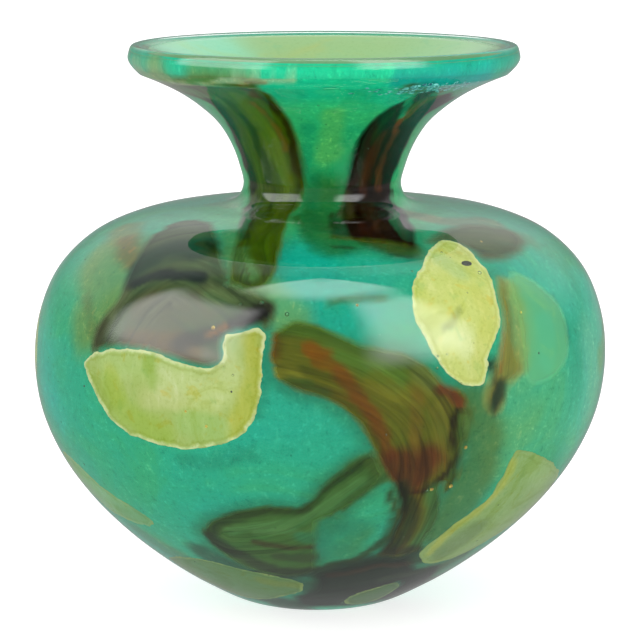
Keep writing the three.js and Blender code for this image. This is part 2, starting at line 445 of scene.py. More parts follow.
def lining_glass():
    """The first gather: pale opal, glossy where it faces the hollow."""
    glass = Glass("pale opal lining")
    spot = glass.spot()
    paint = glass.attribute("paint", "Color")
    cloud = glass.cloud(spot, 45.0, 4.0, 0.6, 0.8)
    wisp = glass.cloud(glass.stretched(spot, (1.0, 1.0, 3.0)), 120.0, 4.0, 0.6, 1.0)
    grain = glass.cloud(spot, 1200.0, 2.0)
    toned = glass.touched(
        paint,
        (glass.between(cloud, 0.5, 0.72) * 0.6, (1.3, 0.95, 0.66)),
        (glass.between(wisp, 0.55, 0.72) * 0.5, (0.7, 0.95, 1.05)),
        (glass.between(grain, 0.5, 0.8) * 0.4, (0.7, 0.8, 0.7)),
    )
    return opal(glass, toned, roughness=0.08, specular=0.3, glow=0.1)


def fleck_glass(name, colour, edge, roughness=0.35):
    """Small specks of metal, soot or foam caught in the glass."""
    glass = Glass(name)
    grain = glass.cloud(glass.spot(), 1700.0, 2.0)
    toned = glass.mixed(glass.between(grain, 0.42, 0.6), colour, edge)
    return opal(glass, toned, roughness=roughness, specular=0.5)


# ---------------------------------------------------------------- making pieces


def shown(name, mesh, material, slot, *nodes):
    """Turns a finished bmesh into a piece of the vase."""
    data = bpy.data.meshes.new(name)
    bmesh.ops.recalc_face_normals(mesh, faces=mesh.faces)
    mesh.to_mesh(data)
    mesh.free()
    data.polygons.foreach_set("use_smooth", [True] * len(data.polygons))
    data.materials.append(material)
    piece = bpy.data.objects.new(name, data)
    bpy.context.scene.collection.objects.link(piece)
    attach(piece, "root")
    if nodes:
        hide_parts(*nodes)
    return piece


def spots_of(piece):
    spots = np.empty(len(piece.data.vertices) * 3)
    piece.data.vertices.foreach_get("co", spots)
    return spots.reshape(-1, 3)


def near_line(spots, line):
    """Distance of each spot from a line of points in space, how far along and to which side."""
    best = np.full(len(spots), FAR)
    along = np.zeros(len(spots))
    side = np.zeros(len(spots))
    done = 0.0
    for start, end in zip(line[:-1], line[1:]):
        run = end - start
        length = np.linalg.norm(run)
        share = np.clip((spots - start) @ run / length**2, 0, 1)
        offset = spots - start - share[:, None] * run
        gap = np.linalg.norm(offset, axis=1)
        nearer = gap < best
        outward = start * (1, 1, 0) + (0, 0, 1e-9)
        left = np.cross(outward, run)
        best = np.where(nearer, gap, best)
        along = np.where(nearer, done + share * length, along)
        side = np.where(nearer, np.sign(offset @ left) * gap, side)
        done += length
    return best, along, side


CURVE_STEPS = 6


def curve_on_wall(points, facing):
    """A smooth line on the wall through places in a square-on drawing, in mm."""
    spots = np.array([seen_at(x, z, facing) for x, z in points])
    if len(spots) < 3:
        return spots
    return flowing(spots, np.linspace(0, len(spots) - 1, (len(spots) - 1) * CURVE_STEPS + 1))


WOBBLE = 1.2


def painted(piece, base, strokes, facing=0.0):
    """Gives a piece its listed colours, over one base colour or one for each point.

    Each stroke is points, width in mm, screen colour, strength, and the side it is drawn from
    where that isn't the piece's own. A stroke without a colour wears the glass thin instead.
    """
    spots = spots_of(piece)
    shift = np.array([noise.noise_vector(Vector(s) * 130) for s in spots]) * WOBBLE * MM
    shift += np.array([noise.noise_vector(Vector(s) * 420) for s in spots]) * WOBBLE * 0.45 * MM
    colours = np.array(np.broadcast_to(np.asarray(base)[..., :3], (len(spots), 3)))
    thin = np.zeros(len(spots))
    for points, width, colour, strength, *side in strokes:
        line = curve_on_wall(points, side[0] if side else facing)
        gap, _, _ = near_line(spots + shift, line)
        share = np.clip(1.5 - gap / (width * MM), 0, 1)
        share = share * share * (3 - 2 * share) * strength
        if colour is None:
            thin = np.maximum(thin, share)
        else:
            colours = colours * (1 - share[:, None]) + np.array(rgb(*colour)[:3]) * share[:, None]
    flat = np.concatenate([colours, np.ones((len(spots), 1))], axis=1)
    layer = piece.data.attributes.new("paint", "FLOAT_COLOR", "POINT")
    layer.data.foreach_set("color", flat.ravel())
    layer = piece.data.attributes.new("thin", "FLOAT", "POINT")
    layer.data.foreach_set("value", thin)


# ---------------------------------------------------------------- the cups of glass

TURN_STEPS = 240
RING_GAP = 1.1 * MM
HIDDEN_GAP = RING_GAP * 1.5


def spun(line):
    """A cup of glass turned from half of its section, which starts and ends on the axis."""
    cup = bmesh.new()
    verts = [cup.verts.new((0, -r, z)) for r, z in line]
    edges = [cup.edges.new(pair) for pair in zip(verts[:-1], verts[1:])]
    bmesh.ops.spin(
        cup,
        geom=verts + edges,
        cent=(0, 0, 0),
        axis=(0, 0, 1),
        angle=math.tau,
        steps=TURN_STEPS,
        use_merge=True,
    )
    bmesh.ops.remove_doubles(cup, verts=cup.verts, dist=WELD_GAP)
    lean = Matrix.Identity(4)
    lean[0][2], lean[0][3] = LEAN, LEAN_START
    bmesh.ops.transform(cup, matrix=lean, verts=cup.verts)
    return cup


def up_the_wall(depth, gap, into_lip=0.0):
    """Half of a layer's section at one depth; it may run on a little way inside the lip."""
    climbs = np.linspace(0, TOP_CLIMB, int(TOP_CLIMB / gap))
    line = wall_line(climbs, depth)
    line[0, 0] = 0
    if into_lip:
        onward = line[-1] - line[-2]
        onward /= np.hypot(*onward)
        line = np.concatenate([line, [line[-1] + onward * into_lip * k for k in (0.5, 1.0)]])
    return line


# ---------------------------------------------------------------- chips and trails


def node_outline(node):
    """Outline of an inlay's outer face, unrolled: rows of turn and climb, in order."""
    slab = merged_copy(node)
    spots = np.array([v.co for v in slab.verts])
    middles = np.array([f.calc_center_median() for f in slab.faces])
    turns, climbs = unrolled(middles)
    outward = on_wall(turns, climbs, 0.0) - on_wall(turns, climbs, WALL_DEPTH)
    facing_out = np.sum(outward * np.array([f.normal for f in slab.faces]), axis=1) > 0.5 * WALL_DEPTH
    ways = {}
    for edge in slab.edges:
        if sorted(bool(facing_out[f.index]) for f in edge.link_faces) == [False, True]:
            a, b = (v.index for v in edge.verts)
            ways.setdefault(a, []).append(b)
            ways.setdefault(b, []).append(a)
    start = next(iter(ways))
    loop, here = [start], ways[start][0]
    while here != start and len(loop) < len(ways):
        loop.append(here)
        here = next(v for v in ways[here] if v != loop[-2])
    slab.free()
    turns, climbs = unrolled(spots[loop])
    return np.stack([np.unwrap(turns), climbs], -1)


FLAT_RADIUS = 50 * MM
NARROWEST = 4 * MM


def stretch_at(climbs, face=GROUND_FACE):
    """True width on the wall of a flat metre across."""
    return np.maximum(wall_line(climbs, face)[:, 0], NARROWEST) / FLAT_RADIUS


def resampled(loop, gap):
    closed = np.concatenate([loop, loop[:1]])
    far = np.concatenate([[0], np.cumsum(np.hypot(*np.diff(closed, axis=0).T))])
    count = max(12, int(far[-1] / gap))
    places = np.linspace(0, far[-1], count, endpoint=False)
    return np.stack([np.interp(places, far, closed[:, k]) for k in (0, 1)], -1)


def smooth_loop(loop, gap, fine_gap):
    """The loop with its corners eased, as a close row of points."""
    coarse = resampled(loop, gap)
    count = len(coarse)
    wrapped = np.concatenate([coarse[-2:], coarse, coarse[:3]])
    steps = max(2, int(gap / fine_gap))
    places = np.linspace(2, count + 2, count * steps, endpoint=False)
    return flowing(wrapped, places)


def inside_loop(spots, loop):
    """Whether each flat spot lies inside the loop."""
    x, y = spots[:, 0][:, None], spots[:, 1][:, None]
    x1, y1 = loop[:, 0], loop[:, 1]
    x2, y2 = np.roll(x1, -1), np.roll(y1, -1)
    crosses = (y1 > y) != (y2 > y)
    rise = np.where(y2 == y1, 1e-12, y2 - y1)
    return (np.sum(crosses & (x < (x2 - x1) * (y - y1) / rise + x1), axis=1) % 2) == 1


def rim_distance(spots, loop, stretch):
    """Distance to the loop in mm, below 0 inside; stretch is the true width of a flat metre."""
    best = np.full(len(spots), FAR)
    ends = np.roll(loop, -1, axis=0)
    for start, end in zip(loop, ends):
        scale = np.stack([stretch, np.ones_like(stretch)], -1)
        run = (end - start) * scale
        offset = (spots - start) * scale
        length = np.maximum(np.sum(run * run, axis=1), 1e-18)
        share = np.clip(np.sum(offset * run, axis=1) / length, 0, 1)
        gap = offset - share[:, None] * run
        best = np.minimum(best, np.sum(gap * gap, axis=1))
    return np.sqrt(best) / MM * np.where(inside_loop(spots, loop), -1, 1)


def widened(loop, margin, face):
    """The loop moved outwards by a margin on the wall."""
    before, after = np.roll(loop, 1, axis=0), np.roll(loop, -1, axis=0)
    stretch = stretch_at(loop[:, 1], face)
    run = (after - before) * np.stack([stretch, np.ones_like(stretch)], -1)
    run /= np.maximum(np.linalg.norm(run, axis=1), 1e-12)[:, None]
    area = np.sum(loop[:, 0] * np.roll(loop[:, 1], -1) - np.roll(loop[:, 0], -1) * loop[:, 1])
    sign = 1 if area > 0 else -1
    out = np.stack([run[:, 1] / stretch, -run[:, 0]], -1) * sign
    return loop + out * margin


def inlay_sheet(outline, face, gap, margin, corner, ragged=0.0):
    """A slab of glass cut to an outline, drawn flat, scored into a mesh, wrapped on the wall."""
    flat = outline * (FLAT_RADIUS, 1)
    true_loop = smooth_loop(flat, corner, 0.5 * MM)
    if ragged:
        waves = [
            noise.noise(Vector((p[0] * 420, p[1] * 420, 3.0))) * 0.7
            + noise.noise(Vector((p[0] * 1300, p[1] * 1300, 7.0))) * 0.45
            for p in true_loop
        ]
        outwards = widened(true_loop, ragged, face) - true_loop
        true_loop = true_loop + outwards * np.array(waves)[:, None]
    loop = widened(true_loop, margin, face) if margin else true_loop
    loop[:, 1] = np.minimum(loop[:, 1], TOP_CLIMB - 0.2 * MM)
    sheet = bmesh.new()
    sheet.faces.new([sheet.verts.new((x, y, 0)) for x, y in loop])
    low, high = loop.min(axis=0), loop.max(axis=0)
    for axis in (0, 1):
        for place in np.arange(low[axis] + gap / 2, high[axis], gap):
            centre, normal = [0, 0, 0], [0, 0, 0]
            centre[axis], normal[axis] = place, 1
            everything = sheet.verts[:] + sheet.edges[:] + sheet.faces[:]
            cut = {"dist": WELD_GAP, "plane_co": centre, "plane_no": normal}
            bmesh.ops.bisect_plane(sheet, geom=everything, **cut)
    bmesh.ops.triangulate(sheet, faces=[f for f in sheet.faces if len(f.verts) > 4])
    top = sheet.verts[:]
    grown = bmesh.ops.extrude_face_region(sheet, geom=sheet.faces[:] + sheet.edges[:] + top)
    fresh = {v for v in grown["geom"] if isinstance(v, bmesh.types.BMVert)}
    sheet.verts.ensure_lookup_table()
    spots = np.array([v.co for v in sheet.verts])
    depths = np.array([INLAY_BACK if v in fresh else face for v in sheet.verts])
    rims = rim_distance(spots[:, :2], true_loop, stretch_at(spots[:, 1], face))
    wrapped = on_wall(spots[:, 0] / FLAT_RADIUS, spots[:, 1], depths)
    for vert, spot in zip(sheet.verts, wrapped):
        vert.co = spot
    return sheet, rims


SHEET_GAP = 0.8 * MM


def inlay(node, material, face, base, strokes, facing, spine=None, **shape):
    """One chip or trail, from its node's outline, with its paint and its grain."""
    sheet, rims = inlay_sheet(node_outline(node), face, SHEET_GAP, **shape)
    piece = shown(node + "_glass", sheet, material, SLOTS[node], node)
    layer = piece.data.attributes.new("rim", "FLOAT", "POINT")
    layer.data.foreach_set("value", rims)
    if spine:
        _, along, side = near_line(spots_of(piece), curve_on_wall(spine, facing))
        pull = np.stack([along, side, np.zeros(len(along))], -1)
        layer = piece.data.attributes.new("pull", "FLOAT_VECTOR", "POINT")
        layer.data.foreach_set("vector", pull.ravel())
    painted(piece, rgb(*base), strokes, facing)


# ---------------------------------------------------------------- the vase, piece by piece
# Stroke: points (across and height in mm, as seen square on), width in mm, colour on a screen
# from 0 to 255, strength, and the side in degrees it is drawn from if that isn't the piece's own.

SLOTS = {part["node"]: part["material_slot"] for part in frame["record"]["subparts"]}
HALO = rgb(34, 104, 70)

GROUND_STROKES = [
    ([(-62, 66), (-60, 50)], 7, (30, 166, 146), 0.7),
    ([(47, 62), (52, 52), (46, 54)], 9, (66, 172, 132), 0.7),
    ([(61, 74), (62, 60), (58, 46)], 7, (70, 184, 150), 0.7),
    ([(40, 60), (44, 52), (38, 44)], 6, (74, 162, 116), 0.7),
    ([(46, 84), (55, 77)], 6, (56, 178, 150), 0.6),
    # Painted light: the neck is painted brighter, for light that comes through the wall under the shading
    # lip.
    ([(0, 126), (0, 112), (0, 104)], 26, (54, 196, 122), 0.9),
    ([(-30, 126), (0, 127), (30, 126)], 9, (10, 188, 146), 0.8),
    ([(0, 106), (0, 97)], 14, (36, 168, 104), 0.8),
    ([(3, 119), (2, 108)], 2.5, (86, 184, 96), 0.7),
    ([(-3, 116), (-3, 104)], 1.6, (20, 150, 104), 0.6),
    ([(1, 99), (0, 94), (1, 90)], 5, (36, 112, 50), 0.9),
    ([(-1, 102), (-2, 96)], 2, (14, 120, 76), 0.6),
    ([(-34, 127), (-26, 125), (-22, 122)], 5, (96, 134, 74), 0.8),
    ([(20, 126), (30, 124)], 3, (48, 120, 66), 0.5),
    ([(-3, 87), (0, 82), (4, 78)], 8, (16, 156, 130), 0.8),
    ([(-49, 84), (-47, 78), (-51, 72)], 7, (88, 132, 66), 0.75),
    ([(-45, 88), (-41, 85)], 4, (88, 112, 54), 0.75),
    ([(-52, 76), (-49, 68)], 1.6, (74, 112, 66), 0.6),
    ([(-36, 92), (-26, 93), (-19, 93)], 4, (76, 140, 104), 0.7),
    ([(-12, 81), (-8, 78), (-7, 76)], 4.5, (104, 152, 84), 0.7),
    ([(2, 79.5), (8, 80), (14, 80)], 1.2, (60, 108, 60), 0.75),
    ([(18, 92), (28, 91), (38, 90)], 4, (104, 124, 92), 0.8),
    ([(3, 91), (12, 89.5), (20, 88)], 3.2, (52, 72, 20), 0.9),
    ([(-20, 90), (-17, 86), (-14, 81)], 3.4, (76, 124, 66), 0.7),
    ([(26, 86), (36, 89), (46, 87)], 4, (96, 120, 72), 0.5),
    ([(36, 82.5), (43, 81), (49, 77.5), (53, 72.5), (55, 67)], 1.3, (10, 118, 96), 0.8),
    ([(43, 79), (45, 73), (45, 67)], 3.5, (122, 176, 112), 0.7),
    ([(60, 66), (61, 52)], 5, (96, 180, 150), 0.5),
    ([(33, 57), (36, 47), (32, 36), (27, 27)], 5.5, (66, 112, 58), 0.85),
    ([(25, 20), (32, 14)], 5, (60, 110, 80), 0.6),
    ([(43.5, 79), (44.5, 72), (43.5, 64)], 2.6, (128, 150, 84), 0.8),
    ([(37.4, 65), (38.8, 58.5), (38.4, 55)], 1.5, (20, 46, 32), 0.95),
    ([(9, 44), (15, 44.5)], 3.2, (62, 98, 40), 0.9),
    ([(3, 38), (9, 41.5), (14, 43)], 2.4, (66, 108, 50), 0.85),
    ([(-44, 87), (-42, 84)], 2.6, (88, 92, 44), 0.75),
    ([(-3, 92), (1, 89), (7, 89.5)], 3.6, (28, 96, 44), 0.8),
    ([(18, 128), (27, 127.5), (36, 127)], 3, (16, 150, 150), 0.7),
    ([(-38, 126), (-27, 127), (-17, 127.5)], 3.2, (92, 118, 44), 0.9),
    ([(-16, 127.5), (-12.5, 127.5)], 1.2, (84, 52, 12), 0.9),
    ([(-40, 128), (-34, 127.5)], 2, (132, 158, 116), 0.7),
    ([(-32, 126.6), (-18, 127.6), (-6, 127.6)], 0.9, (176, 196, 150), 0.6),
    ([(19, 126), (27, 125)], 2, (74, 84, 24), 0.7),
    ([(-30, 80), (-10, 86), (14, 84)], 6, (80, 134, 74), 0.75, 180),
    ([(12, 44), (24, 54), (34, 66)], 6, (70, 134, 84), 0.7, 215),
    ([(-24, 34), (-4, 25), (14, 22)], 5, (40, 86, 58), 0.8, 200),
    ([(0, 72), (14, 60)], 9, (26, 168, 150), 0.6, 180),
    ([(-12, 86), (8, 80)], 4, (96, 112, 52), 0.75, 245),
    ([(-6, 44), (6, 36), (4, 26)], 4.5, (62, 116, 62), 0.75, 270),
    ([(-16, 60), (-4, 66)], 3, (96, 150, 84), 0.6, 90),
    ([(-14, 32), (2, 24)], 5, (42, 96, 66), 0.75, 95),
    ([(-10, 12), (10, 10)], 7, (34, 78, 56), 0.8, 180),
    ([(4, 30), (8, 28), (6, 23)], 4, (38, 124, 88), 0.8),
    ([(15.8, 38), (16.6, 32), (14.4, 25.5), (9, 21), (2, 19)], 1.1, (34, 66, 36), 0.9),
    ([(14, 42), (8, 38), (0, 33.5), (-4, 30)], 1.3, (36, 82, 42), 0.85),
    # The dark band round the foot: partly the dark glass there, partly painted shade of the dim foot.
    ([(-26, 20), (-14, 14), (-4, 12), (8, 6), (24, 8)], 4, (34, 62, 40), 0.8),
    ([(-12, 15.5), (0, 16.8), (10, 19.5), (20, 20.5)], 2.8, (26, 48, 32), 0.95),
    ([(-20, 8), (-8, 5), (6, 2), (16, 4), (24, 9)], 4.5, (28, 54, 38), 0.9),
    ([(20, 18.5), (28, 19), (35, 22.5)], 2, (34, 58, 36), 0.85),
    ([(24, 13), (32, 17), (38, 22)], 2.6, (50, 92, 66), 0.8),
    ([(28, 10), (34, 16)], 2.4, (58, 140, 112), 0.7),
    ([(-40, 22), (-28, 15), (-14, 8)], 4, (72, 124, 92), 0.7),
    ([(-14, 56), (-12, 66)], 1.5, (34, 122, 92), 0.6),
    ([(-30, 44), (-15, 47)], 2, (30, 126, 98), 0.5),
]

# Each chip: the side in degrees it is drawn from, its paint, its strokes.
CHIPS = {
    "cream_chip_left": (0, (158, 174, 98), [
        ([(-46, 64), (-38, 65.5), (-30, 64)], 3.5, (166, 186, 112), 0.8),
        ([(-34, 61), (-24, 60), (-19, 63)], 4, (184, 194, 132), 0.8),
        ([(-15, 72), (-14.5, 64), (-16, 57), (-19, 52)], 2.2, (166, 168, 58), 0.75),
        ([(-46, 62), (-44, 57)], 2, (170, 176, 74), 0.6),
        ([(-38, 58), (-30, 58)], 2.4, (178, 184, 120), 0.6),
        ([(-46, 60), (-42, 54), (-34, 50)], 3, (148, 170, 66), 0.7),
        ([(-37, 66), (-36, 62)], 1.8, (136, 164, 62), 0.6),
        ([(-29, 53), (-22, 53)], 3, (152, 180, 104), 0.7),
    ]),
    "cream_chip_right": (0, (196, 202, 118), [
        ([(27, 86), (30, 84)], 2.5, (172, 192, 120), 0.8),
        ([(25, 74), (30, 72), (33, 68)], 3.5, (206, 212, 150), 0.8),
        ([(22, 80), (24, 76)], 2, (190, 196, 96), 0.7),
        ([(34, 80), (36, 74), (34, 66)], 2, (190, 194, 98), 0.7),
        ([(27, 74), (30, 77)], 1, (150, 160, 100), 0.6),
    ]),
    # The four low chips that follow are painted darker: painted shade low on the vase.
    "cream_chip_low_right": (0, (136, 164, 98), [
        ([(42, 42), (38, 34), (30, 27), (24, 20)], 1.6, (166, 172, 76), 0.8),
        ([(34, 25), (28, 20)], 4, (106, 132, 78), 0.8),
        ([(48, 40), (50, 35)], 3, (150, 176, 112), 0.6),
    ]),
    "cream_chip_low_left": (0, (118, 166, 112), [
        ([(-44, 28), (-38, 27)], 3, (96, 150, 96), 0.7),
    ]),
    "cream_chip_base_left": (0, (88, 126, 72), [
        ([(-12, 13), (-5, 12)], 2, (106, 128, 54), 0.8),
        ([(-28, 15), (-22, 11)], 4, (84, 130, 84), 0.7),
    ]),
    "cream_chip_base_right": (0, (76, 112, 66), []),
    "cream_chip_sunk_right": (0, (98, 174, 124), [
        ([(42, 80), (43.5, 72), (44, 64)], 2.5, (122, 160, 88), 0.8),
        ([(49, 72), (50, 64)], 3, (92, 182, 140), 0.6),
    ]),
    "cream_chip_back_high": (205, (176, 192, 108), [
        ([(0, 79), (14, 80)], 5, (196, 204, 140), 0.7),
        ([(-12, 68), (-2, 63)], 4, (160, 176, 78), 0.7),
    ]),
    "cream_chip_back_low": (160, (160, 182, 104), [
        ([(2, 40), (16, 38)], 5, (182, 194, 126), 0.7),
        ([(-4, 26), (10, 24)], 3, (146, 164, 74), 0.7),
    ]),
    "cream_chip_side_left": (268, (170, 190, 108), [
        ([(-8, 68), (4, 64)], 5, (190, 204, 140), 0.7),
        ([(-10, 54), (2, 52)], 3, (156, 172, 74), 0.7),
    ]),
}

# Each trail: its glass, the side, the line it was pulled along, its paint, its strokes.
TRAILS = {
    "neck_trail_left": ("olive", 0,
        [(-24, 126), (-13, 112), (-9.5, 99), (-12, 92), (-15, 83)], (62, 84, 8), [
        ([(-35, 126), (-28, 124.5), (-24, 122)], 3, (72, 112, 52), 0.85),
        ([(-24, 122), (-18.5, 113), (-15.5, 105), (-14.5, 98)], 2, (26, 40, 8), 0.9),
        ([(-18, 124), (-12, 115), (-8, 105), (-7, 99)], 2, (84, 106, 4), 0.85),
        ([(-17, 118), (-13, 110), (-11.5, 101)], 1, (36, 56, 4), 0.8),
        ([(-12.5, 124), (-8.5, 118.5), (-6, 111), (-4.6, 101)], 0.8, (40, 34, 6), 0.85),
        ([(-17, 127), (-13.5, 124)], 1.6, (78, 26, 2), 0.9),
        ([(-14, 122), (-10, 116), (-7, 109)], 0.8, (110, 72, 6), 0.6),
        ([(-17, 96), (-17.5, 90)], 2, (34, 56, 18), 0.85),
        ([(-9, 95), (-8, 89)], 2, (66, 88, 18), 0.8),
        ([(-13, 92), (-12.5, 85)], 1.4, (48, 66, 10), 0.8),
        ([(-17.5, 88), (-15.5, 84)], 2, (74, 118, 60), 0.8),
    ]),
    "neck_trail_right": ("brown", 0, [(24, 124), (14, 112), (10, 99), (9, 92), (11, 88)], (24, 12, 3), [
        ([(13, 119), (8.5, 112), (6.5, 103)], 1.6, (6, 14, 4), 0.9),
        ([(15, 119), (12.5, 112)], 1.4, (8, 50, 14), 0.6),
        ([(14, 113), (10.5, 104), (9.5, 99)], 1.2, (58, 24, 2), 0.8),
        ([(17, 114), (13.5, 105), (13, 99)], 1.0, (84, 40, 6), 0.7),
        ([(18.5, 118), (22, 121.5), (27, 124)], 2, (58, 78, 14), 0.85),
        ([(19, 119), (16.5, 114)], 0.9, (110, 48, 8), 0.8),
        ([(23, 122), (19.5, 118)], 0.7, (96, 60, 12), 0.7),
        ([(20.5, 124.5), (18.6, 121), (17.8, 118)], 1.0, (16, 146, 96), 0.95),
        ([(30, 125), (26, 124.5)], 1.8, None, 0.9),
        ([(4.5, 97), (6, 92)], 2.5, (56, 58, 18), 0.8),
        ([(11, 95), (14, 91)], 2.2, (40, 26, 8), 0.85),
        ([(2, 90), (10, 89.5), (18, 88.5)], 2, (56, 72, 18), 0.8),
        ([(-1, 89.6), (9, 89), (22, 87.4)], 1.9, None, 1.0),
        ([(1, 91), (1, 88)], 1.4, None, 0.8),
    ]),
    "shoulder_trail_right": ("smudge", 0, [(24, 88), (34, 87.5), (45, 85.5)], (80, 88, 54), [
        ([(34, 87), (42, 86.5)], 1.5, (64, 74, 36), 0.85),
    ]),
    "smoke_trail_left": ("smoke", 0,
        [(-48, 69), (-40, 80), (-30, 85), (-20, 82), (-12, 77)], (64, 82, 46), [
        ([(-41, 83), (-34, 87), (-26, 88)], 4.2, (14, 50, 30), 0.95),
        ([(-22, 88), (-18, 89)], 2.5, (28, 48, 14), 0.85),
        ([(-42, 79.5), (-37, 82), (-31, 83.5), (-25, 83)], 1.5, (6, 26, 26), 0.9),
        ([(-46, 74), (-43, 78)], 0.8, (120, 130, 90), 0.7),
        ([(-48, 72), (-44, 77)], 3, (86, 96, 62), 0.7),
        ([(-49, 66), (-48, 71)], 2.2, (66, 68, 42), 0.8),
        ([(-41, 69), (-34, 70), (-27, 68)], 3, (96, 74, 40), 0.8),
        ([(-38, 76), (-30, 77), (-24, 79)], 4, (78, 78, 50), 0.7),
        ([(-24, 68), (-22, 66)], 2, (104, 104, 82), 0.7),
        ([(-20, 72), (-17, 73)], 1, (118, 92, 40), 0.7),
        ([(-31, 70), (-24, 73), (-17, 75.5), (-11, 78)], 1.8, (34, 34, 20), 0.9),
        ([(-24, 73), (-20, 75)], 0.7, (150, 100, 40), 0.7),
        ([(-15, 75.5), (-12.5, 77)], 1.2, (10, 10, 5), 0.95),
        ([(-23, 80), (-16, 80.5)], 2.6, (84, 104, 60), 0.8),
    ]),
    "flame_trail_right": ("smudge", 0, [(39, 81), (40, 72), (39.5, 64), (38, 55)], (138, 132, 58), [
        ([(39, 79), (39.5, 70), (39, 64)], 1, (158, 112, 50), 0.8),
        ([(42, 78), (42.5, 70)], 1.2, (112, 128, 66), 0.7),
        ([(39, 60), (38, 56)], 2, (18, 42, 30), 0.95),
        ([(37.5, 68), (36.8, 61)], 0.9, (56, 50, 28), 0.85),
    ]),
    "centre_trail": ("olive", 0,
        [(-10, 69), (0, 67), (10, 63), (20, 55), (23, 45), (21, 33), (17, 22)], (84, 86, 16), [
        ([(-8, 74), (0, 74), (10, 70.5), (19, 67.5)], 2, (66, 100, 26), 0.8),
        ([(3, 70), (12, 66), (16, 64)], 3, (74, 106, 34), 0.8),
        ([(-10, 72), (-10.5, 68)], 1.6, (98, 62, 6), 0.8),
        ([(-9, 66.5), (-5, 65)], 2, (112, 110, 28), 0.8),
        ([(-7, 63.5), (1, 61)], 1.5, (56, 84, 30), 0.8),
        ([(-2.5, 71), (1.5, 69.5)], 1.3, (120, 66, 0), 0.85),
        ([(0, 68.5), (3, 66.5)], 1.3, (102, 62, 0), 0.8),
        ([(4, 65), (9, 60), (12.5, 54), (15, 47)], 1.6, (100, 56, 8), 0.85),
        ([(12, 63), (18, 60), (23, 62)], 2.4, (102, 98, 22), 0.7),
        ([(22, 65), (27, 62)], 2.6, (102, 116, 52), 0.8),
        ([(26, 61), (30, 58)], 1.4, (110, 44, 22), 0.8),
        ([(21, 60), (20, 50), (19, 44)], 1.6, (104, 82, 20), 0.7),
        ([(26, 57), (27, 50), (25, 44)], 2.2, (104, 98, 28), 0.8),
        ([(32, 56), (31.5, 48), (29, 41)], 1.6, (62, 92, 38), 0.8),
        ([(30, 56), (28.8, 49), (28.6, 44), (25, 39), (20, 37.5)], 0.9, (34, 26, 6), 0.9),
        ([(16.5, 45), (20, 41.5), (23, 45)], 4, (82, 40, 12), 0.9),
        ([(18, 40), (17.8, 34)], 1.6, (48, 46, 18), 0.85),
        ([(20, 35), (19.5, 28), (16, 23)], 2, (36, 54, 20), 0.9),
        ([(17.5, 40), (18, 33), (15.5, 26), (13, 22)], 0.9, (24, 30, 10), 0.9),
        ([(25.5, 37), (25, 29), (22, 24)], 2.4, (62, 104, 50), 0.9),
        ([(27, 39), (26.5, 31), (23, 23)], 1.0, None, 0.8),
        ([(33, 58), (33, 50), (30, 42)], 0.9, None, 0.7),
        ([(20, 22), (15, 22)], 2, (42, 46, 26), 0.8),
    ]),
    "leaf_trail": ("leaf", 0, [(11, 45), (2, 38), (-8, 30), (-20, 27)], (58, 94, 38), [
        ([(12, 47), (5.5, 43.7), (1.2, 40.3), (-3, 34.7)], 1.5, (42, 68, 22), 0.9),
        ([(-3, 34.7), (-12, 34), (-21, 31), (-24.5, 27)], 1.7, (44, 66, 24), 0.9),
        ([(-24, 25.5), (-19, 21), (-10, 17), (-1, 17)], 2, (38, 52, 28), 0.9),
        ([(9, 41), (2, 36), (-4, 31.5), (-13, 30), (-20, 28)], 1.4, (70, 112, 56), 0.85),
        ([(-6, 29), (-14, 28)], 1.2, (74, 114, 60), 0.7),
        ([(3, 31), (0, 27), (-4, 27)], 2, (46, 110, 68), 0.8),
        ([(-14, 24.5), (-6, 24), (0, 24.5)], 1.1, (56, 52, 22), 0.85),
        ([(-9, 21), (-1, 21)], 1.6, (48, 62, 32), 0.8),
        ([(11, 46), (13, 43)], 1.6, (70, 96, 36), 0.7),
        ([(2.4, 30), (2.2, 24), (2, 18)], 3.2, None, 0.95),
        ([(4, 34), (2, 30)], 1.0, None, 0.8),
    ]),
    "base_trail": ("dusk", 0, [(-4, 10), (8, 12), (22, 16)], (20, 36, 22), [
        ([(2, 15.5), (12, 17.5), (21, 17.5)], 1.4, (54, 38, 20), 0.7),
        ([(-3, 9), (8, 8.5)], 2, (26, 42, 30), 0.8),
        ([(14, 13), (24, 15)], 1.8, (40, 54, 34), 0.8),
    ]),
    "back_neck_trail": ("olive", 188, [(6, 126), (2, 110), (0, 98), (-1, 90)], (70, 86, 12), [
        ([(-8, 124), (-6, 112), (-4, 100)], 1.6, (30, 42, 8), 0.9),
        ([(8, 122), (4, 110), (2, 98)], 1.6, (98, 58, 8), 0.8),
        ([(18, 124), (10, 114)], 1.6, (60, 96, 36), 0.8),
    ]),
    "back_sweep_trail": ("brown", 175,
        [(-28, 76), (-20, 60), (0, 50), (15, 52), (32, 57)], (72, 60, 20), [
        ([(-27, 76), (-24, 66)], 3, (94, 84, 24), 0.8),
        ([(-18, 58), (-4, 50), (10, 51)], 1.4, (96, 48, 12), 0.8),
        ([(14, 53), (30, 57)], 2, (70, 92, 40), 0.8),
    ]),
    "side_trail_right": ("olive", 108, [(-4, 85), (-3, 70), (4, 55), (12, 36)], (76, 84, 20), [
        ([(-5, 83), (-6, 72)], 2, (60, 96, 34), 0.8),
        ([(-2, 74), (0, 62), (5, 54)], 1.6, (106, 56, 10), 0.8),
        ([(8, 50), (13, 40)], 2, (50, 62, 24), 0.85),
    ]),
}


def make_casing():
    lip = flowing(lip_points, np.linspace(0, len(lip_points) - 1, LIP_STEPS))
    outside = up_the_wall(0.0, RING_GAP)
    inside = up_the_wall(CASING_BACK, HIDDEN_GAP)[::-1]
    return shown(
        "clear_casing_glass",
        spun(np.concatenate([outside[:-1], lip, inside])),
        clear_glass(),
        "clear_glass",
        "clear_casing",
    )


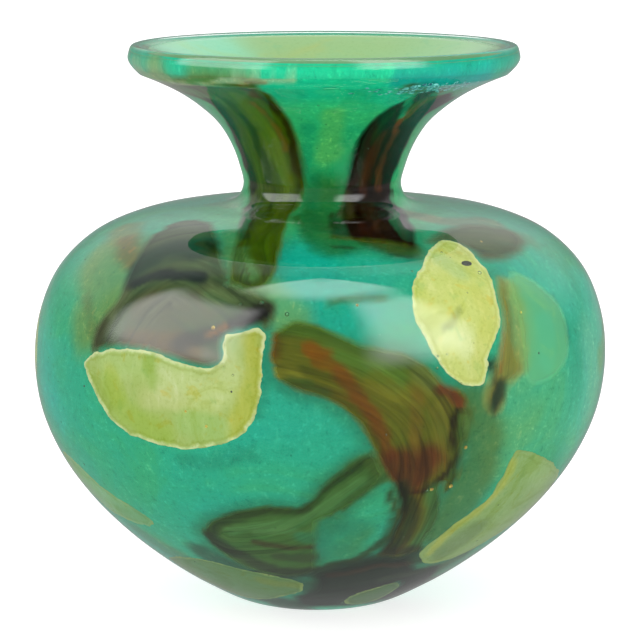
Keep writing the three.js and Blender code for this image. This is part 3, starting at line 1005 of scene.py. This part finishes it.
def melted_edges(spots, base, outlines, reach, colour, strength):
    """The ground's base colours: it darkens softly next to a trail that sank into it."""
    turns, climbs = unrolled(spots)
    share = np.zeros(len(turns))
    for outline in outlines:
        loop = resampled(outline * (FLAT_RADIUS, 1), 2 * MM)
        middle = loop[:, 0].mean() / FLAT_RADIUS
        near = (turns - middle + math.pi) % math.tau - math.pi + middle
        gap = rim_distance(np.stack([near * FLAT_RADIUS, climbs], -1), loop, stretch_at(climbs))
        share = np.maximum(share, np.clip(1 - gap / reach, 0, 1))
    share = (share * share * (3 - 2 * share) * strength)[:, None]
    return np.array(base[:3]) * (1 - share) + np.array(colour[:3]) * share


def make_ground():
    face = up_the_wall(GROUND_FACE, RING_GAP, 0.8 * MM)
    back = up_the_wall(GROUND_BACK, HIDDEN_GAP, 2.2 * MM)[::-1]
    piece = shown(
        "turquoise_layer",
        spun(np.concatenate([face, back])),
        turquoise_glass(),
        "turquoise_glass",
        "turquoise_ground",
    )
    sunk = [node_outline(t) for t, (kind, *_) in TRAILS.items() if kind not in ("smudge", "smoke")]
    base = melted_edges(spots_of(piece), rgb(38, 158, 126), sunk, 4.5, HALO, 0.65)
    painted(piece, base, GROUND_STROKES)


def make_lining():
    face = up_the_wall(LINING_FACE, HIDDEN_GAP, 2.0 * MM)
    back = up_the_wall(WALL_DEPTH, RING_GAP)[::-1]
    piece = shown(
        "opal_lining",
        spun(np.concatenate([face, back])),
        lining_glass(),
        "pale_glass",
        "pale_lining",
    )
    strokes = [
        ([(40, 128), (28, 130)], 12, (116, 186, 152), 0.8),
        ([(12, 128), (-2, 129), (-20, 130)], 12, (124, 158, 100), 0.8),
        ([(-28, 130), (-38, 129)], 9, (118, 160, 108), 0.6),
    ]
    painted(piece, rgb(122, 166, 120), strokes, facing=180)


# Painted shade: these chips get darker paint and a darker pale edge, for the shade low on the vase.
SHADED_CHIPS = (
    "cream_chip_low_left",
    "cream_chip_base_left",
    "cream_chip_base_right",
    "cream_chip_low_right",
)


def make_chips():
    cream = cream_glass("cream chip glass", rgb(222, 226, 180))
    shaded = cream_glass("shaded chip glass", rgb(146, 164, 92))
    sunk = sunk_glass()
    shape = {"margin": 0, "corner": 1.5 * MM, "ragged": 0.5 * MM}
    for chip, (facing, base, strokes) in CHIPS.items():
        glass = sunk if "sunk" in chip else shaded if chip in SHADED_CHIPS else cream
        inlay(chip, glass, CHIP_FACE, base, strokes, facing, **shape)


def make_trails():
    glasses = {
        "olive": trail_glass("olive trail glass", (1.5, 1.5, 1.7), (1.5, 0.72, 0.4)),
        "leaf": trail_glass("leaf trail glass", (1.4, 1.4, 1.5), (1.2, 0.8, 0.6)),
        "brown": trail_glass("brown trail glass", (2.0, 1.9, 1.6), (2.4, 1.0, 0.6), 1.2),
        "dusk": trail_glass("dusk trail glass", (1.5, 1.5, 1.5), (1.6, 0.9, 0.8), 2.2),
        "smoke": trail_glass("smoke trail glass", (1.5, 1.5, 1.55), (1.3, 0.95, 0.7), 1.8),
        "smudge": trail_glass("smudged trail glass", (1.3, 1.3, 1.3), (1.2, 0.9, 0.7), 2.6, 0.9),
    }
    for trail, (kind, facing, spine, base, strokes) in TRAILS.items():
        shape = {"margin": (2.4 if kind == "smudge" else 1.4) * MM, "corner": 1.8 * MM}
        inlay(trail, glasses[kind], TRAIL_FACE, base, strokes, facing, spine, **shape)


# ---------------------------------------------------------------- air, specks and the lip

SEED = 7
SEED_COUNT = 260
SEED_SIZES = (0.12, 0.15, 0.2, 0.28)
FROTH_COUNT = 120
FROTH_SIZES = (0.25, 0.32, 0.42, 0.55)
FROTH_TURN, FROTH_SPREAD = 38, 11
PROBE = 0.5 * MM

# Across and height in mm, as seen from the front, and radius in mm.
BIG_SEEDS = ((34.8, 83, 0.5), (-12.5, 79, 0.6), (23, 38.5, 0.55), (-7, 77, 0.5), (-17, 78.5, 0.5))
BURNT_SPECKS = ((-44, 86, 0.3), (-19, 61, 0.25), (48, 66, 0.25), (-52, 58, 0.25))
GOLD_FLECKS = (
    (24.3, 38.2, 0.45),
    (28.5, 38.4, 0.5),
    (31.6, 47.5, 0.4),
    (-23, 74, 0.45),
    (-24.5, 53, 0.35),
    (-29, 56, 0.3),
    (36, 88, 0.35),
    (8, 79, 0.3),
    (44, 75, 0.3),
)

# Turn in degrees, distance below the top of the wall in mm, and radius in mm.
BLISTERS = ((2, 1.6, 0.45), (27, 3.4, 0.6), (-22, 2.2, 0.4), (140, 2.4, 0.5), (215, 3.0, 0.5))


def drop(mesh, turn, climb, depth, size, stretch=(1, 1, 1)):
    """A small egg of air or ash in the wall; stretch is along the turn, the climb, the depth."""
    place = on_wall(np.array([turn]), np.array([climb]), depth)[0]
    up = on_wall(np.array([turn]), np.array([climb + PROBE]), depth)[0] - place
    out = on_wall(np.array([turn]), np.array([climb]), depth - PROBE)[0] - place
    up, out = Vector(up).normalized(), Vector(out).normalized()
    side = up.cross(out).normalized()
    axes = Matrix((side * stretch[0], out.cross(side) * stretch[1], out * stretch[2])).transposed()
    matrix = Matrix.Translation(Vector(place)) @ axes.to_4x4()
    bmesh.ops.create_icosphere(mesh, subdivisions=2, radius=size, matrix=matrix)


def place_of(across, height):
    """Turn and climb of a place in a drawing from the front, in mm."""
    turns, climbs = unrolled([seen_at(across, height)])
    return turns[0], climbs[0]


def make_bubbles():
    """Seeds all through the casing, long blisters and a froth of small ones under the lip."""
    chance = random.Random(SEED)
    seeds = bmesh.new()
    for _ in range(SEED_COUNT):
        climb = TOP_CLIMB * chance.uniform(0.08, 0.97)
        size = chance.choice(SEED_SIZES) * MM
        drop(seeds, chance.uniform(0, math.tau), climb, chance.uniform(0.9, 1.9) * MM, size)
    for across, height, size in BIG_SEEDS:
        turn, climb = place_of(across, height)
        drop(seeds, turn, climb, 1.4 * MM, size * MM)
    froth = bmesh.new()
    for _ in range(FROTH_COUNT):
        turn = math.radians(chance.gauss(FROTH_TURN, FROTH_SPREAD))
        climb = TOP_CLIMB - chance.uniform(0.8, 6.5) * MM
        size = chance.choice(FROTH_SIZES) * MM
        drop(froth, turn, climb, chance.uniform(0.9, 1.5) * MM, size, (1.5, 1, 0.7))
    for turn, below, size in BLISTERS:
        drop(seeds, math.radians(turn), TOP_CLIMB - below * MM, 1.2 * MM, size * MM, (5, 0.8, 0.8))
    shown("seed_bubbles", seeds, trapped_air(), "clear_glass")
    foam = fleck_glass("froth of fine bubbles", rgb(120, 214, 208), rgb(0, 92, 104), 0.15)
    shown("lip_froth", froth, foam, "clear_glass")


def make_flecks():
    """Gold-brown ash on the colour, a dark hole burnt in the edge of a chip, and burnt specks."""
    gold = bmesh.new()
    for across, height, size in GOLD_FLECKS:
        turn, climb = place_of(across, height)
        drop(gold, turn, climb, CHIP_FACE, size * MM, (1, 1, 0.5))
    gold_glass = fleck_glass("gold fleck", rgb(206, 186, 84), rgb(150, 110, 30))
    shown("gold_flecks", gold, gold_glass, "cream_glass")
    burnt = bmesh.new()
    turn, climb = place_of(32.2, 85.1)
    drop(burnt, turn, climb, CHIP_FACE, 0.95 * MM, (1.5, 0.85, 0.2))
    for across, height, size in BURNT_SPECKS:
        turn, climb = place_of(across, height)
        drop(burnt, turn, climb, CHIP_FACE, size * MM, (1, 1, 0.4))
    burnt_glass = fleck_glass("burnt speck", rgb(46, 52, 40), rgb(20, 24, 18))
    shown("burnt_specks", burnt, burnt_glass, "brown_glass")


make_casing()
make_ground()
make_lining()
make_chips()
make_trails()
make_bubbles()
make_flecks()


# ---------------------------------------------------------------- room, light and camera

# The room: turn and climb of each window as seen from the vase, in degrees, its soft edge,
# the light it throws, and how bright it stands in the gloss of the glass.
WINDOWS = [
    ((-96, -34), (12, 52), 5, 1.1, 4.2),
    ((22, 62), (14, 64), 8, 0.9, 5.0),
    ((-70, 70), (69, 89), 6, 0.7, 4.6),
    ((112, 200), (14, 80), 10, 0.0, 0.55),
    ((-200, -112), (14, 80), 10, 0.0, 0.55),
]
ROOM_LIGHT = 1.3
ROOM_GLOSS = 0.3
FLOOR_GLOSS = 0.36
FLOOR_SIZE = 6.0
CAMERA_PLACE = (0, -0.7, 0.1834)
CAMERA_DIP = 9.5
CAMERA_LENS = 167.5
SENSOR = 36.0


def make_floor():
    """The floor is lit a little from within, so that the vase leaves only a faint shadow."""
    plain = Glass("plain pale floor")
    grain = plain.cloud(plain.spot(), 3.0, 2.0)
    tone = plain.mixed(grain * 0.2, (0.5, 0.5, 0.5, 1), (0.48, 0.48, 0.48, 1))
    values = {
        "Base Color": tone,
        "Roughness": 0.9,
        "Specular IOR Level": 0.0,
        "Emission Color": (1.0, 1.0, 1.0, 1.0),
        "Emission Strength": 0.7,
    }
    lit = plain.node("ShaderNodeBsdfPrincipled", {}, values)
    dim = plain.node("ShaderNodeEmission", {}, {"Strength": FLOOR_GLOSS})
    share = plain.mirrored()
    both = plain.node("ShaderNodeMixShader", {}, {0: share, 1: lit.outputs[0], 2: dim.outputs[0]})
    material = plain.finish(both.outputs[0])
    sheet = bmesh.new()
    bmesh.ops.create_grid(sheet, x_segments=2, y_segments=2, size=FLOOR_SIZE)
    data = bpy.data.meshes.new("floor")
    sheet.to_mesh(data)
    sheet.free()
    data.materials.append(material)
    floor = bpy.data.objects.new("floor", data)
    bpy.context.scene.collection.objects.link(floor)


def white_room():
    """White light from all round, soft windows left, right and overhead, two faint ones behind."""
    room = Glass("white room", bpy.data.worlds.new("white room"))
    way = room.node("ShaderNodeTexCoord").outputs["Generated"]
    x, y, z = (Reading(room, s) for s in room.node("ShaderNodeSeparateXYZ", {}, {0: way}).outputs)
    turn = x.arctan2(-y) * (180 / math.pi)
    climb = z.arcsine() * (180 / math.pi)
    light, gloss = ROOM_LIGHT, ROOM_GLOSS
    for turns, climbs, soft, thrown, seen in WINDOWS:
        pane = room.between(turn, turns[0] - soft, turns[0] + soft)
        pane = pane * (1.0 - room.between(turn, turns[1] - soft, turns[1] + soft))
        pane = pane * room.between(climb, climbs[0] - soft, climbs[0] + soft)
        pane = pane * (1.0 - room.between(climb, climbs[1] - soft, climbs[1] + soft))
        light = pane * thrown + light
        gloss = pane * seen + gloss
    mirrored = room.mirrored()
    strength = light * (1.0 - mirrored) + gloss * mirrored
    sky = room.node("ShaderNodeBackground", {}, {"Color": (1.0, 1.0, 1.0, 1.0), "Strength": strength})
    bpy.context.scene.world = room.finish(sky.outputs[0], "ShaderNodeOutputWorld")


def make_camera():
    lens = bpy.data.cameras.new("camera")
    lens.sensor_width = SENSOR
    lens.lens = CAMERA_LENS
    camera = bpy.data.objects.new("camera", lens)
    camera.location = CAMERA_PLACE
    camera.rotation_euler = (math.radians(90 - CAMERA_DIP), 0, 0)
    bpy.context.scene.collection.objects.link(camera)
    bpy.context.scene.camera = camera


make_floor()
white_room()
bpy.context.scene.view_settings.view_transform = "Standard"
make_camera()
